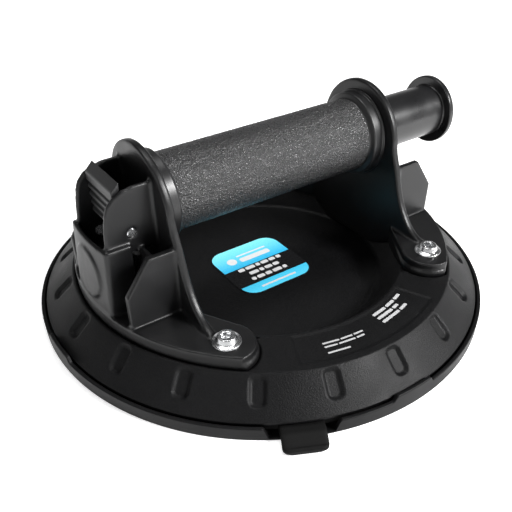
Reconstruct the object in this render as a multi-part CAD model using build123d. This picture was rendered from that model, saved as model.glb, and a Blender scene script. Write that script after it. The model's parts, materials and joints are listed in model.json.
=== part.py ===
from build123d import *
import os
from math import cos, sin, radians, degrees, atan2, hypot, sqrt

# Hand-pumped vacuum suction lifter. Millimetres, +Z up, origin on the floor under the cup's
# centre. +X runs along the grip towards the pump plunger, the release lever is at -X.

# Overall sizes
COVER_R = 106.0            # protective cover, outer radius
GRIP_Z = 63.0              # height of the grip and pump axis
RIM_Z = 19.4               # height of the base shell's flat rim

# Protective cover
COVER_FLOOR = 1.5
COVER_WALL = 1.8
COVER_H = 6.3
EAR_RISE = 2.7             # each ear stands this far above the wall
EAR_HALF = 5.7             # half angle of an ear, degrees
NOTCH_HALF = 7.9           # half angle of the gap for the pull tab, degrees
TAB_ANGLE = -116.6         # direction of the pull tab, degrees
COVER_GAP = 0.8            # air between the skirt and the cover's wall

# Rubber pad and its steel plate
PAD_GAP = 0.3              # air between the pad's lip and the cover
PAD_RIM_Z = 6.0            # top of the pad's rim, where the shell's skirt sits
PAD_LIP = 8.0              # radial width of the sealing lip
CHAMBER_H = 1.4            # depth of the vacuum chamber under the pad
PLATE_T = 1.5
PLATE_EDGE = 12.0          # the plate stops this far inside the pad's edge
TAB_W = 18.0
TAB_T = 1.9
TAB_REACH = 8.0            # the tab's tip, beyond the cover

# Base shell
SHELL_T = 2.4
SKIRT_RUN = 14.2           # the skirt's cone, measured outwards from the rim
SKIRT_LIP = 1.0            # upright edge below the cone
RIM_W = 21.9               # width of the flat rim
DISH_RUN = 8.8             # the dish wall, measured inwards from the rim
PAN_EDGE = 1.5             # the dish pan takes this much of the rim's inner edge
DISH_Z = 8.0
DISH_ROUND = 3.0           # rounding where the dish wall meets its floor
RIM_ROUND = 1.2            # rounding of the rim's two edges
NOTCHES = 20
NOTCH_W = 6.0
NOTCH_LEN = 11.5
NOTCH_DEPTH = 0.8
NOTCH_START = 1.2          # from the cone's top edge, along the slope
PANEL_EDGE = 1.7           # bare rim inside the print panel
PANEL_W = 16.5
PANEL_HALF = 25.0          # half angle of the print panel, degrees
PANEL_DEPTH = 0.4
POCKET_DEPTH = 1.0         # pocket in the rim that seats a foot plate
SEAT_GAP = 0.5             # gap all round a foot plate in its pocket

# Foot plates
FOOT_EDGE = 1.8            # a foot stops this far inside the rim's edge
FOOT_H = 5.6               # above the rim
LOBE_R = 12.8
STEP_IN = 1.0              # a lobe's upper step stands in from the lower one by this much
STEP_H = 3.0               # height of the lower step
FOOT_LIFT = 1.5            # air between the foot's lowest edge and the dish floor
SCREW_IN = 0.9             # each screw's centre, inboard of the bracket's inner face
SCREW_EDGE = 10.85         # the screws' circle, inside the rim's edge
SCREW_R = 3.0              # M6
SCREW_END = 2.0            # the screw stops this far above the plate's top
HEAD_RIM = 3.1             # the head's overhang round the shank
HEAD_H = 3.3
HEX_AF = 4.0
HEX_DEPTH = 2.0
SCREW_CLEAR = 0.3
HEAD_GAP = 0.6             # air round a screw's head
BUSH_WALL = 1.5
BUSH_H = 6.2
BUSH_RIM_H = 1.0           # thickness of the bush's flange on the plate
BUSH_CLEAR = 0.1
BOSS_WALL = 2.6

# Brackets and gussets
BRACKET_IN_FROM_RIM = 32.9 # the bracket's inner face, inboard of the rim's edge
BRACKET_T = 3.5
ARCH_EDGE = 3.8            # bracket plate round the grip's collar
ARCH_DROP = 0.5            # the arch's centre, below the grip's axis
FLARE = [(0.1, 1.0), (3.4, 0.717), (6.5, 0.488), (11.5, 0.244), (18.5, 0.073), (27.5, 0.007)]
GUSSET_Y = 25.0            # inner face of a gusset
GUSSET_T = 3.0
GUSSET_DROP = 9.0          # top edge, below the grip's axis
GUSSET_KNEE = 14.8         # the sloped edge ends this far above the foot
GUSSET_TOP_RUN = 11.7      # length of its level top edge
GUSSET_RUN = 22.2          # its foot, outboard of the bracket
EDGE_R = 0.8               # rounding of bare plate edges

# Lever housing
CHEEK_Y = 14.0             # outer face of a cheek
CHEEK_T = 2.0
CHEEK_RISE = 18.6          # top edge, above the lever's pivot
CHEEK_RUN = 11.5           # front edge, outboard of the pivot
CHEEK_CUT = 8.6            # lower edge inboard of the guard, below the pivot
GUARD_Y = 16.0
GUARD_T = 2.0
GUARD_DROP = 4.2           # top edge, below the pivot
GUARD_EDGE = 0.4           # the guard's foot, inside the foot plate's edge
GUARD_LEAN = 2.2           # its top edge leans in by this much
GUARD_BACK = 1.5           # inboard end of its side walls, outboard of the pivot
WEB_RUN = 3.1              # web between cheek and gusset, inboard of the pivot
WEB_T = 2.0
WEB_DROP = 7.1             # its top edge, below the pivot
BADGE_R = 11.0             # round blank badge on the guard
BADGE_LIFT = 14.5          # its centre, above the foot
BADGE_T = 1.0

# Release lever
STEM_IN_FROM_RIM = 12.7    # the valve stem, inboard of the rim's edge
STEM_ARM = 6.0             # and outboard of the lever's pivot
PIVOT_DROP = 4.4           # the pivot, below the grip's axis
PIN_R = 2.0
RUN = 0.05                 # radial clearance of a running fit
PART_GAP = 0.3             # air between parts of different bodies
HUB_WALL = 1.2
LEVER_GAP = 0.3            # between the lever's sides and the cheeks
LEVER_FACE = 4.7           # thumb face, outboard of the pivot
LEVER_T = 3.4
LEVER_TOP = 20.6           # top edge, above the pivot
LIP_H = 7.0
LEVER_FOOT = 0.5           # lower edge of the thumb plate, below the pivot
RIDGES = 4
FORK_DROP = 5.3            # the nose's centre, below the pivot
NOSE_R = 1.0
FORK_IN = 1.6              # a fork finger's inner side
FORK_OUT = 4.6
HUB_GAP = 3.4              # half width of the gap between the hub's two lugs

# Release valve
STEM_R = 1.25
HEAD_DISC_R = 3.0
HEAD_DISC_T = 1.4
POPPET_R = 4.2
POPPET_T = 2.0
STEM_COLLAR = 1.0          # thickness of the stem's flange on the poppet
SEAT_R = 5.0
SEAT_H = 2.0
PORT_R = 2.0
BRIDGE_DROP = 16.6         # underside of the bridge, below the pivot
BRIDGE_T = 3.0
BRIDGE_W = 9.0
SPRING_WIRE = 0.6
SPRING_R = 3.0
SPRING_TURNS = 6

# Air way from pump to cup
OUTLET_SHARE = 8.0         # pump outlet, below the pump's axis
TUBE_RUN = 3.2             # the tube, outboard of the bracket
TUBE_R = 2.6
TUBE_BORE = 1.5
FITTING_R = 2.9
FITTING_H = 15.0
BARB_LEN = 6.0
AIR_R = 0.9
SPIGOT_R = 2.2
CHANNEL_R = 1.5
CHANNEL_DROP = 3.3         # the foot's air channel, below the foot's top
GASKET_R = 5.0
GASKET_T = 1.2

# Pump
BARREL_BORE = 12.8
BARREL_WALL = 1.6
BARREL_SEAT = 0.8          # the barrel is let into the left bracket by this much
CAP_T = 6.3
STROKE = 36.0
SPRING_ROOM = 12.8         # chamber left for the closed spring
PLUNGER_GAP = 0.7          # between plunger and barrel
PLUNGER_WALL = 1.9
FLANGE_RIM = 4.15
FLANGE_T = 3.0
FLANGE_IN = 0.0            # the flange's outer face, inside the cover's edge
PISTON_T = 12.0
PISTON_SPIGOT = 4.0
SEAL_AT = 3.0              # the seal's groove, from the piston's face
SEAL_W = 4.0
SEAL_DEPTH = 2.2
PISTON_CLEAR = 0.3
VALVE_STEM_R = 1.0
VALVE_STEM_LEN = 3.3
VALVE_CAP_R = 3.8
VALVE_CAP_T = 1.0
VENT_R = 0.6
VENT_RING = 2.2
VENTS = 4
RING_R = 0.84              # O-ring's section
RING_GROOVE = 1.1          # half width of its groove
BUSH_LEN = 9.8
BUSH_RIM = 3.2
BUSH_RIM_T = 1.7
STOP_W = 4.0
COIL_WIRE = 1.6
COIL_GAP = 2.3             # the spring's centre line, inside the barrel's bore
COIL_TURNS = 6

# Grip
GRIP_WALL = 1.9
GRIP_FIT = 0.05            # between grip and barrel
COLLAR_STEP = 2.55
COLLAR_LEN = 5.5
COLLAR_FLARE = 1.8

# Label in the dish
LABEL = 40.0
LABEL_CORNER = 8.0
LABEL_T = 0.2
LABEL_Y = 1.0

# Radii that follow from the cup's size
SKIRT_R = COVER_R - COVER_WALL - COVER_GAP
PAD_R = SKIRT_R - 1.4
PLATE_R = PAD_R - PLATE_EDGE
RIM_R = SKIRT_R - SKIRT_RUN
DISH_TOP_R = RIM_R - RIM_W
DISH_R = DISH_TOP_R - DISH_RUN
FOOT_R = RIM_R - FOOT_EDGE
GUARD_R = FOOT_R - GUARD_EDGE
PANEL_IN = DISH_TOP_R + PANEL_EDGE
PANEL_OUT = PANEL_IN + PANEL_W

# Places along the handle
BRACKET_IN = RIM_R - BRACKET_IN_FROM_RIM
BRACKET_OUT = BRACKET_IN + BRACKET_T
SCREW_X = BRACKET_IN - SCREW_IN
SCREW_Y = sqrt((RIM_R - SCREW_EDGE) ** 2 - SCREW_X ** 2)
STEM_X = STEM_IN_FROM_RIM - RIM_R
PIVOT_X = STEM_X + STEM_ARM
TUBE_X = -BRACKET_OUT - TUBE_RUN
GUARD_BACK_X = PIVOT_X - GUARD_BACK
FLANGE_X = COVER_R - FLANGE_IN
BARREL_X = -BRACKET_IN - BARREL_SEAT
CAP_FACE = BARREL_X + CAP_T
PISTON_FACE = CAP_FACE + SPRING_ROOM + STROKE
SEAL_X = PISTON_FACE + SEAL_AT

# Heights
PAD_Z = COVER_FLOOR + PAD_GAP
PLATE_Z = DISH_Z - SHELL_T + 0.2
RIM_IN_Z = RIM_Z - SHELL_T
FOOT_Z = RIM_Z - POCKET_DEPTH
FOOT_TOP = RIM_Z + FOOT_H
CHANNEL_Z = FOOT_TOP - CHANNEL_DROP
PIVOT_Z = GRIP_Z - PIVOT_DROP
OUTLET_Z = GRIP_Z - OUTLET_SHARE
GUARD_TOP = PIVOT_Z - GUARD_DROP
BRIDGE_Z = PIVOT_Z - BRIDGE_DROP
FITTING_TOP = FOOT_TOP + FITTING_H
BUSH_TOP = PLATE_Z + BUSH_H
POPPET_Z = FOOT_TOP + SEAT_H + PART_GAP
STEM_TOP = PIVOT_Z - FORK_DROP + NOSE_R + PART_GAP + HEAD_DISC_T

# Radii of the pump, grip and screws
BARREL_R = BARREL_BORE + BARREL_WALL
GRIP_BORE = BARREL_R + GRIP_FIT
GRIP_R = GRIP_BORE + GRIP_WALL
COLLAR_R = GRIP_R + COLLAR_STEP
ARCH_R = COLLAR_R + COLLAR_FLARE + ARCH_EDGE
ARCH_Z = GRIP_Z - ARCH_DROP
PLUNGER_R = BARREL_BORE - PLUNGER_GAP
PLUNGER_BORE = PLUNGER_R - PLUNGER_WALL
FLANGE_R = PLUNGER_R + FLANGE_RIM
HEAD_R = SCREW_R + HEAD_RIM
BUSH_R = SCREW_R + BUSH_WALL
HUB_R = PIN_R + HUB_WALL
LEVER_Y = CHEEK_Y - CHEEK_T - LEVER_GAP
SLOPE = degrees(atan2(RIM_Z - PAD_RIM_Z - SKIRT_LIP, SKIRT_RUN))
WALL_RUN = SHELL_T * hypot(DISH_RUN, RIM_Z - DISH_Z) / (RIM_Z - DISH_Z)   # dish wall, measured level


def rod(r, x0, x1, y, z):
    """Round bar along X."""
    bar = Cylinder(r, x1 - x0, align=(Align.CENTER, Align.CENTER, Align.MIN))
    return Pos(x0, y, z) * Rot(0, 90, 0) * bar


def post(r, z0, z1, x=0.0, y=0.0):
    """Upright round bar."""
    return Pos(x, y, z0) * Cylinder(r, z1 - z0, align=(Align.CENTER, Align.CENTER, Align.MIN))


def tube(r_out, r_in, z0, z1, x=0.0, y=0.0):
    return post(r_out, z0, z1, x, y) - post(r_in, z0, z1, x, y)


def block(x0, x1, y0, y1, z0, z1):
    size = Box(x1 - x0, y1 - y0, z1 - z0, align=(Align.MIN, Align.MIN, Align.MIN))
    return Pos(x0, y0, z0) * size


def turned(points):
    """Solid of revolution about Z from (radius, height) points."""
    outline = Polyline(*[(r, 0, z) for r, z in points], close=True)
    return revolve(make_face(outline), Axis.Z, 360)


def turned_x(points, z=0.0):
    """Solid of revolution about the line along X at height z, from (x, radius) points."""
    outline = Polyline(*[(x, 0, r) for x, r in points], close=True)
    return Pos(0, 0, z) * revolve(make_face(outline), Axis.X, 360)


def side_plate(points, y0, y1):
    """Flat plate with an (x, z) outline, between two y values."""
    outline = Polyline(*[(x, y0, z) for x, z in points], close=True)
    return extrude(make_face(outline), amount=y1 - y0, dir=(0, 1, 0))


def sector(r_in, r_out, middle, half, z0, z1):
    """Part of a ring, centred on the direction middle, in degrees."""
    reach = 2 * r_out
    steps = [middle + half * k for k in (-1, -0.5, 0, 0.5, 1)]
    corners = [(reach * cos(radians(a)), reach * sin(radians(a)), z0) for a in steps]
    wedge = extrude(make_face(Polyline((0, 0, z0), *corners, close=True)), amount=z1 - z0, dir=(0, 0, 1))
    return tube(r_out, r_in, z0, z1) & wedge


def spring(mean_r, wire, turns, length):
    """Open coil along +Z from the origin."""
    pitch = length / turns
    path = Helix(pitch, length, mean_r)
    section = Plane(path @ 0, z_dir=path % 0) * Circle(wire / 2)
    return sweep(section, path)


def mirror_y(shape):
    return mirror(shape, about=Plane.XZ)


def screw_places():
    return [(sx * SCREW_X, sy * SCREW_Y) for sx in (-1, 1) for sy in (-1, 1)]


# ---------------------------------------------------------------- cover and pad

def protective_cover():
    shape = tube(COVER_R, COVER_R - COVER_WALL, 0, COVER_H) + post(COVER_R, 0, COVER_FLOOR)
    for middle in (0, 90, 180, 270):
        top = COVER_H + EAR_RISE
        shape += sector(COVER_R - COVER_WALL, COVER_R, middle, EAR_HALF, 0, top)
    gap_z = PAD_Z + PAD_GAP
    shape -= sector(COVER_R - 2 * COVER_WALL, COVER_R + 1, TAB_ANGLE, NOTCH_HALF, gap_z, COVER_H + 1)
    return shape


def pull_tab():
    """Tongue that runs out of the pad's rim, over the cover's wall and down."""
    low = PAD_RIM_Z - TAB_T - 0.9
    root = PAD_R - 6
    tip = COVER_R + TAB_REACH
    line = [(root, low), (COVER_R + 1, low), (COVER_R + 4, low - 0.7), (tip, 0.6)]
    top = [(tip, 0.6 + TAB_T * 0.8), (COVER_R + 4.6, low + TAB_T - 0.7),
           (COVER_R + 1.4, low + TAB_T), (root, low + TAB_T)]
    tongue = side_plate(line + top, -TAB_W / 2, TAB_W / 2)
    tips = tongue.edges().filter_by(Axis.Y, reverse=True).group_by(Axis.X)[-1]
    tongue = fillet(tips, 2.5)
    return Rot(0, 0, TAB_ANGLE) * tongue


def suction_pad():
    lip_in = PAD_R - PAD_LIP
    roof = PAD_Z + CHAMBER_H
    shape = turned([(0, roof), (lip_in - 3, roof), (lip_in, PAD_Z + 0.2), (lip_in + 1, PAD_Z),
                    (PAD_R - 2, PAD_Z), (PAD_R, PAD_Z + 0.9), (PAD_R, PAD_RIM_Z - 0.6),
                    (PAD_R - 0.6, PAD_RIM_Z), (PLATE_R, PAD_RIM_Z), (PLATE_R, PLATE_Z - PLATE_T),
                    (0, PLATE_Z - PLATE_T)])
    shape += pull_tab()
    return shape - post(PORT_R + 1, PAD_Z, PAD_RIM_Z, STEM_X)


def backing_plate():
    shape = post(PLATE_R, PLATE_Z - PLATE_T, PLATE_Z)
    for x, y in screw_places():
        shape -= post(BUSH_R, 0, PAD_RIM_Z + 1, x, y)
    return shape - post(PORT_R + 2, 0, PAD_RIM_Z + 1, STEM_X)


def threaded_bushes():
    one = tube(BUSH_R, SCREW_R, PLATE_Z - PLATE_T, BUSH_TOP)
    one += tube(BUSH_R + BUSH_WALL, SCREW_R, PLATE_Z, PLATE_Z + BUSH_RIM_H)
    return Compound([Pos(x, y, 0) * one for x, y in screw_places()])


def port_filter():
    return post(PORT_R + 2, PLATE_Z - PLATE_T, PLATE_Z, STEM_X)


# ---------------------------------------------------------------- base shell

def foot_plan(grow=0.0, step=0.0):
    """Plan of the left foot plate at height 0, grown all round, its screw lobes set in by a step."""
    disc = Circle(FOOT_R + grow)
    inner = BRACKET_IN - grow
    lobe_r = LOBE_R + grow - step
    plan = disc & (Pos(-inner - FOOT_R / 2, 0) * Rectangle(FOOT_R, 2 * SCREW_Y))
    for side in (-1, 1):
        y = side * SCREW_Y
        touch = (-SCREW_X + lobe_r * cos(radians(39)), y - side * lobe_r * sin(radians(39)))
        start = (-inner, side * (SCREW_Y - 2 * LOBE_R))
        web = make_face(Polyline((-inner - 6, start[1]), start, touch, (-SCREW_X, y), (-inner - 6, y),
                                 close=True))
        plan = plan + web + (disc & (Pos(-SCREW_X, y) * Circle(lobe_r)))
    return plan


def corners_at(outline, r, z):
    return [v for v in outline.vertices() if hypot(v.X - r, v.Z - z) < 0.01]


def shell_body():
    """The whole base moulding: dish, rim, skirt and the bosses under the rim."""
    top = [(0, DISH_Z), (DISH_R, DISH_Z), (DISH_TOP_R, RIM_Z), (RIM_R, RIM_Z),
           (SKIRT_R, PAD_RIM_Z + SKIRT_LIP), (SKIRT_R, PAD_RIM_Z)]
    inside = [(SKIRT_R - SHELL_T - 0.6, PAD_RIM_Z), (RIM_R - 1.3, RIM_IN_Z),
              (wall_r(RIM_IN_Z) + WALL_RUN, RIM_IN_Z), (wall_r(PLATE_Z) + WALL_RUN, PLATE_Z), (0, PLATE_Z)]
    outline = make_face(Polyline(*[(r, 0, z) for r, z in top + inside], close=True))
    outline = fillet(corners_at(outline, DISH_R, DISH_Z), DISH_ROUND)
    for r in (DISH_TOP_R, RIM_R):
        outline = fillet(corners_at(outline, r, RIM_Z), RIM_ROUND)
    shape = revolve(outline, Axis.Z, 360)
    boss_r = BUSH_R + BUSH_CLEAR + BOSS_WALL
    for x, y in screw_places():
        shape += post(boss_r, PLATE_Z, RIM_IN_Z + 0.2, x, y)
    shape += post(PORT_R + 3, PLATE_Z, RIM_IN_Z + 0.2, STEM_X)
    shape = shape - notches() - print_panel()
    pocket = Pos(0, 0, FOOT_Z) * extrude(foot_plan(SEAT_GAP), amount=POCKET_DEPTH + 1, dir=(0, 0, 1))
    for turn in (0, 180):
        shape -= Rot(0, 0, turn) * pocket
    for x, y in screw_places():
        shape -= post(BUSH_R + BUSH_CLEAR, 0, BUSH_TOP + PART_GAP, x, y)
        shape -= post(BUSH_R + BUSH_WALL + BUSH_CLEAR, 0, PLATE_Z + BUSH_RIM_H + 2 * BUSH_CLEAR, x, y)
        shape -= post(SCREW_R + SCREW_CLEAR, 0, RIM_Z + 1, x, y)
    return shape - post(PORT_R, 0, RIM_Z + 1, STEM_X)


def dish_pan():
    """Middle of the base moulding: the dish with the rim's inner edge."""
    return shell_body() & post(DISH_TOP_R + PAN_EDGE, 0, RIM_Z + 1)


def base_shell():
    """Outer ring of the base moulding: rim and skirt."""
    return shell_body() - post(DISH_TOP_R + PAN_EDGE, 0, RIM_Z + 1)


def notches():
    """Shallow finger pads pressed into the skirt's cone."""
    tool = Box(NOTCH_LEN, NOTCH_W, 2 * NOTCH_DEPTH, align=(Align.MIN, Align.CENTER, Align.CENTER))
    tool = fillet(tool.edges().filter_by(Axis.Z), 1.2)
    start = Pos(RIM_R, 0, RIM_Z) * Rot(0, SLOPE, 0) * Pos(NOTCH_START, 0, 0) * tool
    return Part() + [Rot(0, 0, 360 / NOTCHES * k) * start for k in range(NOTCHES)]


def print_panel():
    shape = sector(PANEL_IN, PANEL_OUT, -90, PANEL_HALF, RIM_Z - PANEL_DEPTH, RIM_Z + 1)
    return fillet(shape.edges().filter_by(Axis.Z), 2.0)


def port_gasket():
    return tube(GASKET_R, PORT_R, FOOT_Z, FOOT_Z + GASKET_T, STEM_X)


def label():
    plan = RectangleRounded(LABEL, LABEL, LABEL_CORNER)
    return Pos(0, LABEL_Y, DISH_Z) * extrude(plan, amount=LABEL_T, dir=(0, 0, 1))


# ---------------------------------------------------------------- end frames

def wall_r(z):
    """Radius of the dish wall at height z."""
    return DISH_R + (z - DISH_Z) * (DISH_TOP_R - DISH_R) / (RIM_Z - DISH_Z)


def foot():
    """Left foot plate: it sits in the rim's pocket and reaches down along the dish wall."""
    lower = extrude(foot_plan(), amount=FOOT_Z + STEP_H, dir=(0, 0, 1))
    upper = extrude(foot_plan(0, STEP_IN), amount=FOOT_TOP, dir=(0, 0, 1))
    low = DISH_Z + FOOT_LIFT
    shell_room = turned([(0, 0), (COVER_R, 0), (COVER_R, FOOT_Z), (wall_r(FOOT_Z) - SEAT_GAP, FOOT_Z),
                         (wall_r(low) - SEAT_GAP, low), (0, low)])
    return lower + upper - shell_room


def bracket_plate():
    """Left bell-shaped bracket, square to X."""
    x = -BRACKET_IN
    height = ARCH_Z + 3.5 - FOOT_TOP
    half = [(ARCH_R + out, FOOT_TOP + share * height) for out, share in FLARE]
    right = [(x, y, z) for y, z in half]
    left = [(x, -y, z) for y, z in half]
    side = Spline(*right, tangents=[(0, 0, -1), (0, 1, -0.12)])
    far = Spline(*left, tangents=[(0, 0, -1), (0, -1, -0.12)])
    arch = ThreePointArc(far @ 0, (x, 0, ARCH_Z + ARCH_R), side @ 0)
    base = Polyline(side @ 1, (x, half[-1][0], FOOT_Z), (x, -half[-1][0], FOOT_Z), far @ 1)
    plate = extrude(make_face(Wire([arch, side, far] + list(base.edges()))), amount=BRACKET_T, dir=(-1, 0, 0))
    rims = [e for e in plate.edges() if e.center().Z > FOOT_TOP + 4 and abs(e.tangent_at(0.5).X) < 0.5]
    return fillet(rims, EDGE_R)


def gusset():
    """Left front gusset between bracket and foot."""
    top = GRIP_Z - GUSSET_DROP
    root = -BRACKET_OUT + 1
    end = -BRACKET_OUT - GUSSET_RUN
    outline = [(root, FOOT_TOP - 1), (root, top), (-BRACKET_OUT - GUSSET_TOP_RUN, top),
               (end, FOOT_TOP + GUSSET_KNEE), (end, FOOT_TOP - 1)]
    plate = side_plate(outline, -GUSSET_Y - GUSSET_T, -GUSSET_Y)
    inside = post(FOOT_R - 0.2, 0, 100)
    return plate & inside


def end_frame():
    """Foot, bracket and both gussets of one end, at the left."""
    shape = foot() + bracket_plate() + gusset() + mirror_y(gusset())
    for sy in (-1, 1):
        shape -= post(SCREW_R + SCREW_CLEAR, 0, FOOT_TOP + 1, -SCREW_X, sy * SCREW_Y)
        shape -= post(HEAD_R + HEAD_GAP, FOOT_TOP, FOOT_TOP + HEAD_H + 1, -SCREW_X, sy * SCREW_Y)
    return shape


def cheeks():
    """Two side walls of the lever housing, rounded over the thumb lever."""
    root = -BRACKET_OUT + 1
    front = PIVOT_X - CHEEK_RUN
    top = PIVOT_Z + CHEEK_RISE
    outline = [(root, top), (front + 15.0, top), (front + 10.2, top - 0.8), (front + 6.2, top - 2.7),
               (front + 3.3, top - 5.6), (front + 2.0, top - 8.6), (front + 0.9, top - 14.3),
               (front, GUARD_TOP), (front, FOOT_TOP - 1), (GUARD_BACK_X, FOOT_TOP - 1),
               (GUARD_BACK_X, PIVOT_Z - CHEEK_CUT), (root, PIVOT_Z - CHEEK_CUT)]
    plate = side_plate(outline, -CHEEK_Y, -CHEEK_Y + CHEEK_T)
    return plate + mirror_y(plate)


def leaning(grow, low):
    """Round wall that leans in towards its top, as the guard does."""
    cone = Cone(GUARD_R + grow, GUARD_R - GUARD_LEAN + grow, GUARD_TOP - low,
                align=(Align.CENTER, Align.CENTER, Align.MIN))
    return Pos(0, 0, low) * cone


def guard():
    """U-shaped wall that stands round the valve on the foot's outer edge."""
    low = FOOT_TOP - 1
    slab = block(-GUARD_R - 1, GUARD_BACK_X, -GUARD_Y, GUARD_Y, low, GUARD_TOP)
    room = block(-GUARD_R - 1, 0, -GUARD_Y + GUARD_T, GUARD_Y - GUARD_T, low, GUARD_TOP)
    shape = (slab & leaning(0, low)) - (room & leaning(-GUARD_T, low))
    corners = [e for e in shape.edges() if abs(e.center().Y) > GUARD_Y - 0.01
               and e.center().X < GUARD_BACK_X - 5 and abs(e.tangent_at(0.5).Z) > 0.9]
    shape = fillet(corners, 1.4)
    badge = rod(BADGE_R, -GUARD_R - BADGE_T, -GUARD_R + 4, 0, FOOT_TOP + BADGE_LIFT)
    return shape + ((badge & leaning(BADGE_T, low)) - leaning(-GUARD_T, low))


def side_webs():
    """Small webs that tie each cheek to the gusset beside it."""
    x = PIVOT_X + WEB_RUN
    sunk = 0.5
    web = block(x - WEB_T / 2, x + WEB_T / 2, -GUSSET_Y - sunk, -CHEEK_Y + sunk,
                FOOT_TOP - 1, PIVOT_Z - WEB_DROP)
    return web + mirror_y(web)


def left_frame():
    shape = end_frame() + cheeks() + guard() + side_webs()
    shape -= rod(BARREL_R, BARREL_X, -BRACKET_IN, 0, GRIP_Z)
    for sy in (-1, 1):
        shape -= Pos(PIVOT_X, sy * (CHEEK_Y - 1), PIVOT_Z) * Rot(90, 0, 0) * Cylinder(PIN_R, 2 * CHEEK_T)
    shape -= rod(SPIGOT_R, -BRACKET_OUT - 1, -BRACKET_IN + 1, 0, OUTLET_Z)
    shape -= post(PORT_R, 0, FOOT_TOP + 1, STEM_X)
    shape -= post(GASKET_R, FOOT_Z, FOOT_Z + GASKET_T, STEM_X)
    shape -= rod(CHANNEL_R, STEM_X, TUBE_X, 0, CHANNEL_Z)
    return shape - post(PORT_R + 0.5, CHANNEL_Z, FOOT_TOP + 1, TUBE_X)


def right_frame():
    shape = Rot(0, 0, 180) * end_frame()
    return shape - rod(BARREL_R, BRACKET_IN - 1, BRACKET_OUT + 1, 0, GRIP_Z)


def frame_screws():
    head = post(HEAD_R, 0, HEAD_H)
    rim = head.edges().filter_by(GeomType.CIRCLE).sort_by(Axis.Z)[-1]
    head = fillet(rim, HEAD_H * 0.8)
    socket = extrude(RegularPolygon(HEX_AF / 2, 6, major_radius=False), amount=HEX_DEPTH + 1, dir=(0, 0, 1))
    one = head + post(SCREW_R, PLATE_Z + SCREW_END - FOOT_TOP, 0) - Pos(0, 0, HEAD_H - HEX_DEPTH) * socket
    return Compound([Pos(x, y, FOOT_TOP) * one for x, y in screw_places()])


# ---------------------------------------------------------------- grip and pump

def grip():
    end = BRACKET_IN
    inner = end - COLLAR_LEN
    half = [(inner - 1.4, GRIP_R), (inner, COLLAR_R - 0.8), (inner + 0.8, COLLAR_R),
            (end - 1.4, COLLAR_R), (end - 0.5, COLLAR_R + 0.7), (end, COLLAR_R + COLLAR_FLARE)]
    outer = [(-x, r) for x, r in reversed(half)] + half
    return turned_x([(-end, GRIP_BORE)] + outer + [(end, GRIP_BORE)], GRIP_Z)


def pump_barrel():
    return turned_x([(BARREL_X, BARREL_BORE), (BARREL_X, BARREL_R), (BRACKET_OUT, BARREL_R),
                     (BRACKET_OUT, BARREL_BORE)], GRIP_Z)


def vents(x0, x1):
    """Ring of small air holes round a check valve's stem."""
    places = [radians(45 + 360 / VENTS * k) for k in range(VENTS)]
    return [rod(VENT_R, x0, x1, VENT_RING * cos(a), GRIP_Z + VENT_RING * sin(a)) for a in places]


def pump_end_cap():
    ring = CAP_FACE - 2.4
    groove_r = BARREL_BORE - 2 * RING_R
    shape = turned_x([(BARREL_X, 0), (BARREL_X, BARREL_BORE), (ring - RING_GROOVE, BARREL_BORE),
                      (ring - RING_GROOVE, groove_r), (ring + RING_GROOVE, groove_r),
                      (ring + RING_GROOVE, BARREL_BORE), (CAP_FACE, BARREL_BORE), (CAP_FACE, 0)], GRIP_Z)
    shape -= block(BARREL_X, CAP_FACE - VALVE_STEM_LEN, -3, 3, OUTLET_Z - 3, GRIP_Z + 3)
    shape -= rod(VALVE_STEM_R, BARREL_X, CAP_FACE, 0, GRIP_Z)
    return shape - vents(BARREL_X, CAP_FACE)


def cap_o_ring():
    return Pos(CAP_FACE - 2.4, 0, GRIP_Z) * Rot(0, 90, 0) * Torus(BARREL_BORE - RING_R, RING_R)


def umbrella(x):
    """Mushroom-shaped rubber check valve, its cap lying on the face at x."""
    cap = rod(VALVE_CAP_R, x, x + VALVE_CAP_T, 0, GRIP_Z)
    return cap + rod(VALVE_STEM_R, x - VALVE_STEM_LEN, x, 0, GRIP_Z)


def intake_valve():
    return umbrella(CAP_FACE)


def exhaust_valve():
    return umbrella(PISTON_FACE + PISTON_T)


def plunger():
    tip = PISTON_FACE + PISTON_T - PISTON_SPIGOT
    under = FLANGE_X - FLANGE_T
    shape = turned_x([(tip, PLUNGER_BORE), (tip, PLUNGER_R), (under, PLUNGER_R), (under, FLANGE_R - 0.8),
                      (under + 0.8, FLANGE_R), (FLANGE_X - 0.9, FLANGE_R), (FLANGE_X, FLANGE_R - 0.9),
                      (FLANGE_X, 0), (under, 0), (under, PLUNGER_BORE)], GRIP_Z)
    for side in (-1, 1):
        shape -= rod(1.0, under - 1, FLANGE_X + 1, side * PLUNGER_BORE / 2, GRIP_Z)
    return shape


def piston_head():
    x1 = PISTON_FACE + PISTON_T
    step = x1 - PISTON_SPIGOT
    ring_r = BARREL_BORE - SEAL_DEPTH
    skirt_r = BARREL_BORE - PISTON_CLEAR
    shape = turned_x([(PISTON_FACE, 0), (PISTON_FACE, skirt_r), (SEAL_X, skirt_r), (SEAL_X, ring_r),
                      (SEAL_X + SEAL_W, ring_r), (SEAL_X + SEAL_W, skirt_r), (step, skirt_r),
                      (step, PLUNGER_BORE), (x1, PLUNGER_BORE), (x1, 0)], GRIP_Z)
    shape -= rod(VALVE_STEM_R, x1 - VALVE_STEM_LEN, x1, 0, GRIP_Z)
    return shape - vents(PISTON_FACE, x1)


def piston_seal():
    """Cup seal with its lip towards the chamber."""
    r_in = BARREL_BORE - SEAL_DEPTH
    r_out = BARREL_BORE - RUN
    return turned_x([(SEAL_X, r_in), (SEAL_X, r_in + 0.7), (SEAL_X + 2, r_in + 1.1), (SEAL_X, r_out - 0.5),
                     (SEAL_X, r_out), (SEAL_X + 1.6, r_out), (SEAL_X + SEAL_W, r_out - 0.4),
                     (SEAL_X + SEAL_W, r_in)], GRIP_Z)


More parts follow.
